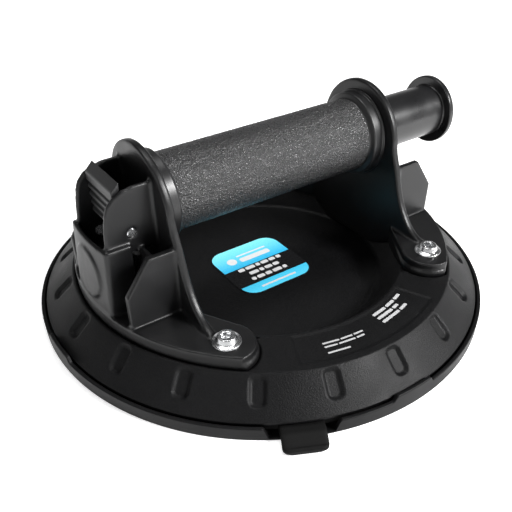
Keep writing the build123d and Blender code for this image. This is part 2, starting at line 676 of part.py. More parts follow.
def guide_bush():
    x0 = BRACKET_OUT - BUSH_LEN
    x1 = BRACKET_OUT
    bore = PLUNGER_R + RUN
    rim_r = BARREL_BORE + BUSH_RIM
    end = x1 + BUSH_RIM_T
    bevel = 0.6
    return turned_x([(x0, bore), (x0, BARREL_BORE), (x1, BARREL_BORE), (x1, rim_r), (end - bevel, rim_r),
                     (end, rim_r - bevel), (end, bore)], GRIP_Z)


def stop_ring():
    """Collar on the plunger that meets the guide bush at the end of the return."""
    x1 = BRACKET_OUT - BUSH_LEN - PART_GAP
    r_out = BARREL_BORE - RUN
    return turned_x([(x1 - STOP_W, PLUNGER_R), (x1 - STOP_W, r_out), (x1, r_out), (x1, PLUNGER_R)], GRIP_Z)


def return_spring():
    x0 = CAP_FACE + COIL_WIRE / 2 + RUN
    length = PISTON_FACE - COIL_WIRE / 2 - RUN - x0
    return Pos(x0, 0, GRIP_Z) * Rot(0, 90, 0) * spring(BARREL_BORE - COIL_GAP, COIL_WIRE, COIL_TURNS, length)


# ---------------------------------------------------------------- air way and release valve

def elbow_fitting():
    """Turns the pump's outlet down to the vacuum tube."""
    low = OUTLET_Z - FITTING_R
    shape = rod(SPIGOT_R, TUBE_X, BARREL_X, 0, OUTLET_Z) + post(FITTING_R, low, OUTLET_Z + FITTING_R, TUBE_X)
    shape += post(TUBE_BORE, low - BARB_LEN, low, TUBE_X)
    shape -= rod(AIR_R, TUBE_X, BARREL_X + 1, 0, OUTLET_Z)
    return shape - post(AIR_R, low - BARB_LEN, OUTLET_Z, TUBE_X)


def port_fitting():
    """Plated fitting in the foot that takes the tube's lower end."""
    shape = post(PORT_R + 0.5, CHANNEL_Z + CHANNEL_R + 0.2, FOOT_TOP, TUBE_X)
    shape += post(FITTING_R, FOOT_TOP, FITTING_TOP, TUBE_X)
    shape += post(TUBE_BORE, FITTING_TOP, FITTING_TOP + BARB_LEN / 2, TUBE_X)
    return shape - post(AIR_R, CHANNEL_Z, FITTING_TOP + BARB_LEN, TUBE_X)


def vacuum_tube():
    return tube(TUBE_R, TUBE_BORE, FITTING_TOP, OUTLET_Z - FITTING_R, TUBE_X)


def valve_seat():
    ring = tube(SEAT_R, PORT_R, FOOT_TOP, FOOT_TOP + SEAT_H, STEM_X)
    return chamfer(ring.edges().filter_by(GeomType.CIRCLE).sort_by(Axis.Z)[-1], 0.5)


def valve_poppet():
    return tube(POPPET_R, STEM_R, POPPET_Z, POPPET_Z + POPPET_T, STEM_X)


def valve_stem():
    collar = POPPET_Z + POPPET_T
    shape = post(STEM_R, POPPET_Z, STEM_TOP, STEM_X) + post(POPPET_R, collar, collar + STEM_COLLAR, STEM_X)
    return shape + post(HEAD_DISC_R, STEM_TOP - HEAD_DISC_T, STEM_TOP, STEM_X)


def valve_spring():
    z0 = POPPET_Z + POPPET_T + STEM_COLLAR + SPRING_WIRE / 2 + RUN
    length = BRIDGE_Z - SPRING_WIRE / 2 - RUN - z0
    return Pos(STEM_X, 0, z0) * spring(SPRING_R, SPRING_WIRE, SPRING_TURNS, length)


def valve_bridge():
    """Cross bar that guides the stem and holds the spring's top end."""
    width = CHEEK_Y - CHEEK_T
    shape = block(STEM_X - BRIDGE_W / 2, STEM_X + BRIDGE_W / 2, -width, width, BRIDGE_Z, BRIDGE_Z + BRIDGE_T)
    return shape - post(STEM_R + RUN, 0, 100, STEM_X)


# ---------------------------------------------------------------- lever

def lever_face():
    """Side outline of the thumb plate, about the pivot, with a lip on top and ridges below."""
    face = -LEVER_FACE
    top = LEVER_TOP
    points = [(face + LEVER_T, top), (face + 0.2, top - 3.0), (face - 0.2, top - 3.6),
              (face - 0.3, top - LIP_H)]
    pitch = (top - LIP_H + LEVER_FOOT) / RIDGES
    for k in range(RIDGES):
        z = top - LIP_H - k * pitch
        points += [(face + 0.9, z - 0.9), (face + 0.8, z - 0.45 * pitch), (face - 0.1, z - 0.6 * pitch),
                   (face - 0.1, z - pitch + 0.2)]
    points += [(face + LEVER_T, -LEVER_FOOT)]
    return points


def thumb_lever():
    """Thumb plate, two hub lugs on the pin and a fork with a round nose under the stem's head."""
    shape = side_plate(lever_face(), -LEVER_Y, LEVER_Y)
    lug = Pos(0, HUB_GAP, 0) * Rot(-90, 0, 0) * Cylinder(HUB_R, LEVER_Y - HUB_GAP,
                                                         align=(Align.CENTER, Align.CENTER, Align.MIN))
    arm = [(-1.0, 1.0), (-LEVER_FACE + 1.0, 6.0), (-LEVER_FACE + 2.0, 12.0), (1.5, 2.5), (1.5, 0.0)]
    rib = side_plate(arm, HUB_GAP, HUB_GAP + 1.6)
    outer_rib = side_plate(arm, LEVER_Y - 1.6, LEVER_Y)
    low = -FORK_DROP
    finger = side_plate([(-0.5, -2.6), (-2.6, low + NOSE_R), (-STEM_ARM, low + NOSE_R),
                         (-STEM_ARM, low - NOSE_R), (-2.0, low - 0.7), (1.0, -3.0)], FORK_IN, FORK_OUT)
    nose = Pos(-STEM_ARM, FORK_IN, low) * Rot(-90, 0, 0) * Cylinder(
        NOSE_R, FORK_OUT - FORK_IN, align=(Align.CENTER, Align.CENTER, Align.MIN))
    half = lug + rib + outer_rib + finger + nose
    shape = shape + half + mirror_y(half)
    shape -= Rot(90, 0, 0) * Cylinder(PIN_R + RUN, 2 * LEVER_Y + 2)
    return Pos(PIVOT_X, 0, PIVOT_Z) * shape


def lever_pin():
    half = CHEEK_Y + 0.4
    pin = Rot(90, 0, 0) * Cylinder(PIN_R, 2 * half)
    pin = chamfer(pin.edges().filter_by(GeomType.CIRCLE), 0.3)
    return Pos(PIVOT_X, 0, PIVOT_Z) * pin


NODES = {
    "protective_cover": protective_cover,
    "suction_pad": suction_pad,
    "backing_plate": backing_plate,
    "threaded_bushes": threaded_bushes,
    "port_filter": port_filter,
    "base_shell": base_shell,
    "dish_pan": dish_pan,
    "port_gasket": port_gasket,
    "label": label,
    "left_frame": left_frame,
    "right_frame": right_frame,
    "frame_screws": frame_screws,
    "grip": grip,
    "pump_barrel": pump_barrel,
    "pump_end_cap": pump_end_cap,
    "cap_o_ring": cap_o_ring,
    "intake_valve": intake_valve,
    "exhaust_valve": exhaust_valve,
    "plunger": plunger,
    "piston_head": piston_head,
    "piston_seal": piston_seal,
    "guide_bush": guide_bush,
    "stop_ring": stop_ring,
    "return_spring": return_spring,
    "elbow_fitting": elbow_fitting,
    "port_fitting": port_fitting,
    "vacuum_tube": vacuum_tube,
    "valve_seat": valve_seat,
    "valve_poppet": valve_poppet,
    "valve_stem": valve_stem,
    "valve_spring": valve_spring,
    "valve_bridge": valve_bridge,
    "thumb_lever": thumb_lever,
    "lever_pin": lever_pin,
}

os.makedirs("parts", exist_ok=True)
for name, make in NODES.items():
    export_step(make(), f"parts/{name}.step")
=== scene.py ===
import bpy
import bmesh
import json
import math
import numpy as np
from mathutils import Matrix, Vector, noise


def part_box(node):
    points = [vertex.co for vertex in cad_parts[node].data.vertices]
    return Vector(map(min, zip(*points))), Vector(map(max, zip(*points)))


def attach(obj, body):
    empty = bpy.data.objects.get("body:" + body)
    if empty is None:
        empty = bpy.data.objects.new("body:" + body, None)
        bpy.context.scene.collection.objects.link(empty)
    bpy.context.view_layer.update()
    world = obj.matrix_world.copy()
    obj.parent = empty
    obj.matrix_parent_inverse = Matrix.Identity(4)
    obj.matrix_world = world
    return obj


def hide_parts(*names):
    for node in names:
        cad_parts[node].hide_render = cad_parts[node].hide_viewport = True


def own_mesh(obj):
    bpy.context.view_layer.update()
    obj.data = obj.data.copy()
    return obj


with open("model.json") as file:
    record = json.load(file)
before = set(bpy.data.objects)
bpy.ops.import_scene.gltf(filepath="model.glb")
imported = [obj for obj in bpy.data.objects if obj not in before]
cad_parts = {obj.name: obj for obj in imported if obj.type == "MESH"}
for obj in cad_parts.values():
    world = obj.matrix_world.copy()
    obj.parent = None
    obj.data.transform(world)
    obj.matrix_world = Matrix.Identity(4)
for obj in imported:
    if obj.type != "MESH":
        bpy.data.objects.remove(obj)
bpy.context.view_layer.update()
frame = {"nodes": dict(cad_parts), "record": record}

# Hand-pumped vacuum suction lifter. Metres, in the row frame: +X along the grip to the plunger, +Z up.
# Shapes are worked out in millimetres and scaled once, when their mesh is made.
MM = 0.001
nodes = frame["nodes"]


def corners(node):
    """A node's lowest and highest corner, in millimetres."""
    return [[value / MM for value in corner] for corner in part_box(node)]


# Places read from the frame
(_, _, PAD_RIM_Z), (SKIRT_R, _, RIM_Z) = corners("base_shell")
(_, _, PLATE_Z), _ = corners("dish_pan")
(LABEL_X0, LABEL_Y0, DISH_Z), (LABEL_X1, LABEL_Y1, LABEL_TOP) = corners("label")
_, (COVER_R, _, EAR_Z) = corners("protective_cover")
(_, _, PAD_Z), (PAD_R, _, _) = corners("suction_pad")
(_, _, GRIP_LOW), (GRIP_END, _, GRIP_HIGH) = corners("grip")
(PLUNGER_X0, _, FLANGE_LOW), (PLUNGER_X1, _, FLANGE_HIGH) = corners("plunger")
_, (SCREWS_X, SCREWS_Y, SCREWS_TOP) = corners("frame_screws")
GRIP_Z = (GRIP_LOW + GRIP_HIGH) / 2
FLANGE_R = (FLANGE_HIGH - FLANGE_LOW) / 2

# Sizes of the mouldings that a box doesn't show
SKIRT_RUN = 14.2           # the skirt's cone, outwards from the rim
SKIRT_LIP = 1.0            # its upright edge
RIM_W = 21.9               # flat rim between the dish and the skirt
DISH_RUN = 8.8             # the dish wall's slope, outwards
SHELL_T = 2.4
RIM_R = SKIRT_R - SKIRT_RUN
DISH_TOP_R = RIM_R - RIM_W
DISH_R = DISH_TOP_R - DISH_RUN
NOTCHES, NOTCH_L, NOTCH_W, NOTCH_DEPTH = 20, 11.5, 6.0, 1.3
NOTCH_TOP = 1.2            # from the rim's edge to a finger pad
PANEL_R, PANEL_W, PANEL_HALF = DISH_TOP_R + 9.95, 16.5, math.radians(25)
PANEL_DEPTH = 0.4
FOOT_R = RIM_R - 1.8
POCKET_DEPTH = 1.0         # the feet sit this far into the rim
LOBE_R = 12.8              # round end of a foot, about its screw
LOBE_TOUCH = math.radians(39)
SEAT_GAP = 0.5
HEAD_R, HEAD_H = 6.1, 3.3
SHANK_R, SHANK_L = 3.0, 17.0
HEX_ACROSS, HEX_DEPTH = 4.0, 2.1
SCREW_X, SCREW_Y = SCREWS_X - HEAD_R, SCREWS_Y - HEAD_R
FOOT_TOP = SCREWS_TOP - HEAD_H
COVER_WALL, COVER_FLOOR, COVER_H = 1.8, 1.5, 6.3
EAR_HALF, TAB_GAP_HALF = 5.4, 7.6       # degrees
TAB_ANGLE = math.radians(-116.6)
TAB_T, TAB_HALF, TAB_REACH = 1.9, 9.0, COVER_R + 8.0
TAB_CORNER = 2.6
GRIP_R, GRIP_WALL = 16.35, 1.9
PEBBLE = 1.25              # moulded pebbles of the grip's leather grain
PLUNGER_R, PLUNGER_WALL, FLANGE_T = 12.1, 1.9, 3.0
LABEL_CORNER, LABEL_EDGE = 8.0, 0.7
FAR_BAND_Y, NEAR_BAND_Y = 3.3, -11.0
INK_T = 0.03


# ------------------------------------------------------------------ materials

def linear(hex_colour):
    """sRGB hex, such as "1f1f20", to a linear colour."""
    parts = [int(hex_colour[i:i + 2], 16) / 255 for i in (0, 2, 4)]
    return [p / 12.92 if p <= 0.04045 else ((p + 0.055) / 1.055) ** 2.4 for p in parts] + [1.0]


def add(mat, kind, inputs=None, **settings):
    """Adds one node: settings are its own fields, inputs are values or sockets to link."""
    node = mat.node_tree.nodes.new("ShaderNode" + kind)
    for key, value in settings.items():
        setattr(node, key, value)
    for key, value in (inputs or {}).items():
        if isinstance(value, bpy.types.NodeSocket):
            mat.node_tree.links.new(value, node.inputs[key])
        else:
            node.inputs[key].default_value = value
    return node


def start(name, **shader):
    """New material with a Principled shader whose constants are set on its own sockets."""
    mat = bpy.data.materials.new(name)
    mat.use_nodes = True
    mat.node_tree.nodes.clear()
    bsdf = add(mat, "BsdfPrincipled", {key.replace("_", " "): value for key, value in shader.items()})
    add(mat, "OutputMaterial", {"Surface": bsdf.outputs["BSDF"]})
    place = add(mat, "TexCoord").outputs["Object"]
    return mat, bsdf, place


def wire(mat, bsdf, **sources):
    """Links sockets into the shader's inputs."""
    for key, socket in sources.items():
        mat.node_tree.links.new(socket, bsdf.inputs[key.replace("_", " ")])
    return mat


def per_mm(size):
    """Scale of a pattern whose features are this many millimetres across."""
    return 1000.0 / size


def moulded(name, dark, light, rough, grain, depth, spread=0.05, cloud=14.0, **shader):
    """Moulded plastic or rubber: grain of the tool's face, with faint flow clouds in its gloss."""
    mat, bsdf, place = start(name, **shader)
    fine = add(mat, "TexNoise", {"Vector": place, "Scale": per_mm(grain), "Detail": 3.0, "Roughness": 0.6})
    broad = add(mat, "TexNoise", {"Vector": place, "Scale": per_mm(cloud), "Detail": 2.0})
    worn = add(mat, "MapRange", {"Value": fine.outputs["Fac"], "From Min": 0.35, "From Max": 0.65})
    tint = add(mat, "Mix", {"Factor": worn.outputs[0], 6: linear(dark), 7: linear(light)}, data_type="RGBA")
    gloss = add(mat, "MapRange", {"Value": broad.outputs["Fac"], "From Min": 0.3, "From Max": 0.7,
                                  "To Min": rough - spread, "To Max": rough + spread})
    bump = add(mat, "Bump", {"Height": fine.outputs["Fac"], "Strength": 1.0, "Distance": depth * MM})
    return wire(mat, bsdf, Base_Color=tint.outputs[2], Roughness=gloss.outputs[0], Normal=bump.outputs[0])


def leather_grained(name, dark, light, rough, cell, depth, **shader):
    """Plastic moulded against a leather-grained tool: rounded pebbles with dull creases between them, and
    painted shade that darkens the colour in the creases.
    """
    mat, bsdf, place = start(name, **shader)
    pebble = add(mat, "TexVoronoi", {"Vector": place, "Scale": per_mm(cell), "Randomness": 1.0},
                 feature="DISTANCE_TO_EDGE")
    crease = add(mat, "MapRange", {"Value": pebble.outputs["Distance"], "From Min": 0.0, "From Max": 0.28})
    fine = add(mat, "TexNoise", {"Vector": place, "Scale": per_mm(0.35), "Detail": 2.0})
    height = add(mat, "Math", {0: crease.outputs[0], 1: fine.outputs["Fac"]}, operation="ADD")
    # Painted shade: the colour runs from dark in the creases to lighter on the pebble tops.
    tint = add(mat, "Mix", {"Factor": crease.outputs[0], 6: linear(dark), 7: linear(light)},
               data_type="RGBA")
    gloss = add(mat, "MapRange", {"Value": crease.outputs[0], "To Min": rough + 0.2, "To Max": rough})
    bump = add(mat, "Bump", {"Height": height.outputs[0], "Strength": 1.0, "Distance": depth * MM})
    return wire(mat, bsdf, Base_Color=tint.outputs[2], Roughness=gloss.outputs[0], Normal=bump.outputs[0])


def turned_metal(name, dark, light, rough, line, depth, stretch, **shader):
    """Machined or drawn metal: fine tool lines, drawn out along the stretched axes."""
    mat, bsdf, place = start(name, Metallic=1.0, **shader)
    along = add(mat, "Mapping", {"Vector": place, "Scale": stretch})
    lines = add(mat, "TexNoise", {"Vector": along.outputs[0], "Scale": per_mm(line), "Detail": 4.0})
    smear = add(mat, "TexNoise", {"Vector": place, "Scale": per_mm(4.0), "Detail": 2.0})
    tint = add(mat, "Mix", {"Factor": smear.outputs["Fac"], 6: linear(dark), 7: linear(light)},
               data_type="RGBA")
    gloss = add(mat, "MapRange", {"Value": lines.outputs["Fac"], "From Min": 0.3, "From Max": 0.7,
                                  "To Min": rough - 0.06, "To Max": rough + 0.1})
    bump = add(mat, "Bump", {"Height": lines.outputs["Fac"], "Strength": 0.6, "Distance": depth * MM})
    return wire(mat, bsdf, Base_Color=tint.outputs[2], Roughness=gloss.outputs[0], Normal=bump.outputs[0])


def printed_film(name, far, near, y_far, y_near, **shader):
    """Screen-printed band of a label: one ink fades into another across it, over faint dots."""
    mat, bsdf, place = start(name, **shader)
    spot = add(mat, "SeparateXYZ", {"Vector": place})
    fade = add(mat, "MapRange", {"Value": spot.outputs["Y"],
                                 "From Min": y_near * MM, "From Max": y_far * MM})
    dots = add(mat, "TexNoise", {"Vector": place, "Scale": per_mm(0.4), "Detail": 2.0})
    ink = add(mat, "Mix", {"Factor": fade.outputs[0], 6: linear(near), 7: linear(far)}, data_type="RGBA")
    gloss = add(mat, "MapRange", {"Value": dots.outputs["Fac"], "To Min": 0.22, "To Max": 0.34})
    bump = add(mat, "Bump", {"Height": dots.outputs["Fac"], "Strength": 0.4, "Distance": 0.004 * MM})
    return wire(mat, bsdf, Base_Color=ink.outputs[2], Roughness=gloss.outputs[0], Normal=bump.outputs[0])


# ABS from a spark-eroded tool: near black, with a sandy sparkle in raking light
shell_abs = moulded("black_abs_eroded", "050506", "111112", 0.48, 0.6, 0.16,
                    IOR=1.53, Specular_IOR_Level=0.16)
# The same ABS from a finer tool face: satin, with soft even highlights
frame_abs = moulded("black_abs_satin", "09090a", "121213", 0.38, 0.45, 0.03,
                    IOR=1.53, Specular_IOR_Level=0.34)
# Thumb lever: a slightly greyer, duller moulding
lever_abs = moulded("black_abs_lever", "19191a", "252526", 0.44, 0.4, 0.015, IOR=1.53)
# Leather-grain tool face on the grip: pebbles 1 mm across, drawn a little coarse, that sparkle in the light;
# the darker of its two colours is painted shade in the creases
grip_abs = leather_grained("black_abs_leather_grain", "080809", "1c1c1d", 0.27, 0.95, 0.20,
                           IOR=1.53, Specular_IOR_Level=0.9)
# Smooth tool face on the grip's collars
collar_abs = moulded("black_abs_collar", "111112", "1a1a1b", 0.38, 0.5, 0.008, IOR=1.53)
# Polished tool face on the plunger: the gloss of a plastic rubbed by use
plunger_abs = moulded("black_abs_polished", "121213", "1a1a1b", 0.30, 0.8, 0.003, IOR=1.53)
# Moulded polypropylene cover: a waxy black with a weak shine
cover_pp = moulded("grey_black_polypropylene", "080809", "0f0f10", 0.5, 0.5, 0.03,
                   IOR=1.49, Specular_IOR_Level=0.16)
# Natural rubber, moulded: matte, the darkest black on the tool
pad_rubber = moulded("moulded_natural_rubber", "040404", "090909", 0.66, 0.6, 0.03,
                     IOR=1.52, Specular_IOR_Level=0.15)
# Nitrile rubber seals: a smooth dull black, with a faint tool grain
seal_rubber = moulded("nitrile_rubber", "0d0d0d", "171717", 0.5, 0.4, 0.01, IOR=1.52)
# Extruded silicone tube: soft mid grey with a low sheen
tube_silicone = moulded("extruded_silicone", "6d6d6e", "808081", 0.45, 0.5, 0.01, IOR=1.41)
# Natural acetal pump parts: off-white and waxy, machined or moulded smooth
pump_acetal = moulded("natural_acetal", "d8d5cc", "e4e1d9", 0.4, 0.6, 0.01, IOR=1.48)
# Black acetal guide bush: smooth and slightly glossy
bush_acetal = moulded("black_acetal", "121213", "1c1c1d", 0.35, 0.6, 0.008, IOR=1.48)
# Pressed wool felt: off-white, with no gloss and a fibrous surface
filter_felt = moulded("wool_felt", "b9b6ad", "d6d3cb", 0.95, 0.35, 0.12, IOR=1.5)
# Stainless steel, cold headed and bright: sharp highlights broken by fine turning lines
screw_steel = turned_metal("bright_stainless_steel", "c4c5c7", "e2e3e4", 0.22, 0.3, 0.004, (1.0, 1.0, 6.0))
# Zinc plated steel: a duller grey shine, slightly cloudy
plate_zinc = turned_metal("zinc_plated_steel", "9c9da0", "b4b6ba", 0.34, 0.5, 0.008, (1.0, 6.0, 1.0))
# Brass, turned on a lathe: warm yellow with fine rings
valve_brass = turned_metal("turned_brass", "b08d4a", "c9a55f", 0.28, 0.3, 0.008, (1.0, 1.0, 8.0))
# Drawn aluminium tube: pale, with draw lines along its length
pump_aluminium = turned_metal("drawn_aluminium", "b4b6b8", "c8c9cb", 0.32, 0.4, 0.008, (0.1, 4.0, 4.0))
# Vinyl label: black ground with cyan to blue bands under a clear gloss
label_black = printed_film("label_black_vinyl", "0c0c0e", "101012", 20, -20, Coat_Weight=0.3, IOR=1.46)
label_far = printed_film("label_cyan_band", "8cf4ff", "38c4f6", 20, 4, Coat_Weight=0.3, IOR=1.46)
label_near = printed_film("label_blue_band", "48d2fa", "5cdcff", -11, -19, Coat_Weight=0.3, IOR=1.46)
# Screen-printed white ink on the label, and a greyer coat of it on the shell's panel
white_ink = printed_film("white_print_ink", "e9e9ea", "dededf", 20, -20, IOR=1.46)
panel_ink = printed_film("panel_white_ink", "c9c9ca", "b9b9ba", 90, -90, IOR=1.46)

FINISH = {
    "cover_plastic": cover_pp, "pad_rubber": pad_rubber, "plate_steel": plate_zinc,
    "screw_steel": screw_steel, "shell_plastic": shell_abs, "frame_plastic": frame_abs,
    "grip_plastic": grip_abs, "lever_plastic": lever_abs, "plunger_plastic": plunger_abs,
    "pump_aluminium": pump_aluminium,
    "pump_plastic": pump_acetal, "valve_brass": valve_brass, "seal_rubber": seal_rubber,
    "tube_rubber": tube_silicone, "filter_felt": filter_felt, "label_print": label_black,
}
slot_of = {part["node"]: part["material_slot"] for part in frame["record"]["subparts"]}
for name, thing in nodes.items():
    thing.data.materials.clear()
    thing.data.materials.append(bush_acetal if name == "guide_bush" else FINISH[slot_of[name]])


# ------------------------------------------------------------------ mesh tools

def piece(name, verts, faces, mat, body="cup", slot=None, stands_for=()):
    """Makes a smooth-shaded mesh from millimetre points, gives it its body and hides the CAD parts it stands
    for; its slot argument is not used.
    """
    mesh = bpy.data.meshes.new(name)
    mesh.from_pydata([tuple(float(v) * MM for v in vert) for vert in verts], [], faces)
    work = bmesh.new()
    work.from_mesh(mesh)
    bmesh.ops.remove_doubles(work, verts=work.verts, dist=1e-7)
    bmesh.ops.recalc_face_normals(work, faces=work.faces)
    work.to_mesh(mesh)
    work.free()
    made = bpy.data.objects.new(name, mesh)
    bpy.context.collection.objects.link(made)
    return dress(made, mat, body, stands_for)


def dress(made, mat, body, stands_for=()):
    """Gives a mesh its material, smooth shading and body, and hides the CAD parts it stands for."""
    made.data.materials.clear()
    made.data.materials.append(mat)
    for face in made.data.polygons:
        face.use_smooth = True
    weigh = made.modifiers.new("weighted_normals", "WEIGHTED_NORMAL")
    weigh.keep_sharp = True
    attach(made, body)
    if stands_for:
        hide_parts(*stands_for)
    return made


def softened(outline, steps=5):
    """Points of an outline given by (a, b, radius) corners, each rounded by its radius."""
    points = []
    for i, (a, b, radius) in enumerate(outline):
        here = Vector((a, b))
        if not radius:
            points.append(here)
            continue
        before = (Vector(outline[i - 1][:2]) - here).normalized()
        after = (Vector(outline[(i + 1) % len(outline)][:2]) - here).normalized()
        half = before.angle(after) / 2
        centre = here + (before + after).normalized() * radius / math.sin(half)
        first = here + before * radius / math.tan(half) - centre
        last = here + after * radius / math.tan(half) - centre
        for k in range(steps + 1):
            points.append(centre + first.lerp(last, k / steps).normalized() * radius)
    return points


def spaced(points, gap):
    """Adds points so that no step is longer than a gap."""
    out = [points[0]]
    for here, there in zip(points, points[1:]):
        count = max(1, math.ceil((there - here).length / gap))
        out += [here.lerp(there, k / count) for k in range(1, count + 1)]
    return out


def turned_grid(outline, columns):
    """Grid of points of a solid of revolution about Z: rings by columns by 3."""
    radius, height = np.array([tuple(p) for p in outline]).T
    turn = np.arange(columns) * 2 * math.pi / columns
    return np.stack([np.outer(radius, np.cos(turn)), np.outer(radius, np.sin(turn)),
                     np.repeat(height[:, None], columns, 1)], -1)


def grid_faces(rings, columns):
    """Quads of a grid that closes on itself along its columns."""
    index = np.arange(rings * columns).reshape(rings, columns)
    low, high = index[:-1], index[1:]
    quads = np.stack([low, np.roll(low, -1, 1), np.roll(high, -1, 1), high], -1)
    return quads.reshape(-1, 4).tolist()


def turned(name, outline, mat, columns=128, shape=None, **placing):
    """Solid of revolution about Z; shape may move the points of its grid."""
    grid = turned_grid(outline, columns)
    if shape:
        grid = shape(grid)
    return piece(name, grid.reshape(-1, 3), grid_faces(*grid.shape[:2]), mat, **placing)


def along_x(grid):
    """Lays a grid turned about Z down along X, at the grip's height."""
    return np.stack([grid[..., 2], grid[..., 1], grid[..., 0] + GRIP_Z], -1)


def step_in(distance, width):
    """1 well inside an outline and 0 well outside it, with a soft edge."""
    t = np.clip(0.5 - distance / width, 0, 1)
    return t * t * (3 - 2 * t)


def rounded_box(u, v, half_u, half_v, radius):
    """Signed distance from a rounded rectangle."""
    du, dv = np.abs(u) - half_u + radius, np.abs(v) - half_v + radius
    return np.hypot(np.maximum(du, 0), np.maximum(dv, 0)) + np.minimum(np.maximum(du, dv), 0) - radius


def softened_copy(name, node, voxel, rounds, mat, body):
    """A CAD part again, remeshed finely so that its edges get a moulding's small round."""
    made = bpy.data.objects.new(name, nodes[node].data.copy())
    bpy.context.collection.objects.link(made)
    remesh = made.modifiers.new("remesh", "REMESH")
    remesh.mode = "VOXEL"
    remesh.voxel_size = voxel * MM
    smooth = made.modifiers.new("smooth", "SMOOTH")
    smooth.factor = 0.5
    smooth.iterations = rounds
    bpy.context.view_layer.objects.active = made
    for modifier in ("remesh", "smooth"):
        bpy.ops.object.modifier_apply(modifier=modifier)
    return dress(made, mat, body, (node,))


# ------------------------------------------------------------------ base moulding

def foot_distance(x, y):
    """Signed distance from the outline of the pockets that seat the two feet."""
    x, y = np.abs(x), np.abs(y)
    disc = np.hypot(x, y) - FOOT_R - SEAT_GAP
    inner = GRIP_END - SEAT_GAP
    middle = np.maximum(disc, np.maximum(inner - x, y - SCREW_Y))
    lobe_r = LOBE_R + SEAT_GAP
    lobe = np.maximum(disc, np.hypot(x - SCREW_X, y - SCREW_Y) - lobe_r)
    start_y = SCREW_Y - 2 * LOBE_R
    touch = (SCREW_X - lobe_r * math.cos(LOBE_TOUCH), SCREW_Y - lobe_r * math.sin(LOBE_TOUCH))
    run, rise = touch[0] - inner, touch[1] - start_y
    side = ((x - inner) * -rise + (y - start_y) * run) / math.hypot(run, rise)
    web = np.maximum.reduce([side, start_y - y, y - SCREW_Y, x - inner - 6])
    return np.minimum.reduce([middle, lobe, web])


def notch_distance(radius, turn):
    """Signed distance from the nearest finger pad on the skirt's cone."""
    slope = math.atan2(RIM_Z - PAD_RIM_Z - SKIRT_LIP, SKIRT_RUN)
    pitch = 2 * math.pi / NOTCHES
    across = radius * ((turn + pitch / 2) % pitch - pitch / 2)
    along = (radius - RIM_R) / math.cos(slope) - NOTCH_TOP - NOTCH_L / 2
    return rounded_box(along, across, NOTCH_L / 2, NOTCH_W / 2, 2.2)


def press_base(grid):
    """Presses the foot pockets, the print panel and the finger pads into the turned base."""
    profile = grid[:, 0, ::2]
    tangent = np.gradient(profile, axis=0)
    tangent /= np.maximum(np.hypot(*tangent.T), 1e-9)[:, None]
    x, y, z = np.moveaxis(grid, -1, 0)
    radius, turn = np.hypot(x, y), np.arctan2(y, x)
    outer = np.arange(len(grid))[:, None] < TOP_RINGS
    on_rim = z > RIM_Z - 0.2
    pocket = POCKET_DEPTH * step_in(foot_distance(x, y), 0.7) * on_rim
    panel_turn = (np.abs(turn + math.pi / 2) - PANEL_HALF) * radius
    panel = np.maximum(np.abs(radius - PANEL_R) - PANEL_W / 2, panel_turn)
    pocket += PANEL_DEPTH * step_in(panel, 0.6) * on_rim
    pad = NOTCH_DEPTH * step_in(notch_distance(radius, turn), 1.6) * (radius > RIM_R)
    depth = np.where(outer, pocket + pad, 0)
    normal_r, normal_z = tangent[:, 1], -tangent[:, 0]
    grid = grid.copy()
    grid[..., 0] += depth * normal_r[:, None] * np.cos(turn)
    grid[..., 1] += depth * normal_r[:, None] * np.sin(turn)
    grid[..., 2] += depth * normal_z[:, None]
    return grid


wall_run = SHELL_T * math.hypot(DISH_RUN, RIM_Z - DISH_Z) / (RIM_Z - DISH_Z)
over = softened([(0, DISH_Z, 0), (DISH_R, DISH_Z, 3.0), (DISH_TOP_R, RIM_Z, 1.2), (RIM_R, RIM_Z, 1.2),
                 (SKIRT_R, PAD_RIM_Z + SKIRT_LIP, 0.4), (SKIRT_R, PAD_RIM_Z, 0)], 4)
flat_end = len(softened([(0, DISH_Z, 0), (DISH_R, DISH_Z, 3.0), (DISH_TOP_R, RIM_Z, 0)], 4)) - 1
dish_part = over[:1] + [over[0].lerp(over[1], 0.5), over[0].lerp(over[1], 0.97)] + over[1:flat_end]
top_points = spaced(dish_part, 60) + spaced(over[flat_end:], 0.55)
TOP_RINGS = len(top_points)
under = [Vector(p) for p in [(SKIRT_R - SHELL_T, PAD_RIM_Z), (RIM_R - 1.3, RIM_Z - SHELL_T),
                             (DISH_TOP_R + wall_run - 1.8, RIM_Z - SHELL_T),
                             (DISH_R + wall_run - 1.7, PLATE_Z), (0, PLATE_Z)]]
turned("base_moulding", top_points + under, shell_abs, 960, press_base, slot="shell_plastic",
       stands_for=("base_shell", "dish_pan"))


# ------------------------------------------------------------------ cover, pad and tab

def ramp(turn, middle, half, edge):
    """1 within an angle of a direction, falling to 0 over a short edge; degrees."""
    off = np.abs((np.degrees(turn) - middle + 180) % 360 - 180)
    return step_in(off - half, edge)


def shape_cover(grid):
    """Raises four ears and lowers a gap for the pull tab in the cover's wall."""
    turn = np.arctan2(grid[..., 1], grid[..., 0])
    top = np.full(turn.shape, COVER_H)
    for middle in (0, 90, 180, 270):
        top += (EAR_Z - COVER_H) * ramp(turn, middle, EAR_HALF, 1.1)
    gap_z = PAD_Z + 0.3
    top += (gap_z - top) * ramp(turn, math.degrees(TAB_ANGLE), TAB_GAP_HALF, 1.3)
    z = grid[..., 2]
    grid = grid.copy()
    grid[..., 2] = np.where(z > gap_z, gap_z + (z - gap_z) * (top - gap_z) / (COVER_H - gap_z), z)
    return grid


cover_in = COVER_R - COVER_WALL
cover_outline = softened([(0, 0, 0), (COVER_R, 0, 0.5), (COVER_R, COVER_H, 0.5), (cover_in, COVER_H, 0.5),
                          (cover_in, COVER_FLOOR, 0.5), (0, COVER_FLOOR, 0)], 3)
turned("cover_moulding", cover_outline, cover_pp, 960, shape_cover, body="cover", slot="cover_plastic",
       stands_for=("protective_cover",))

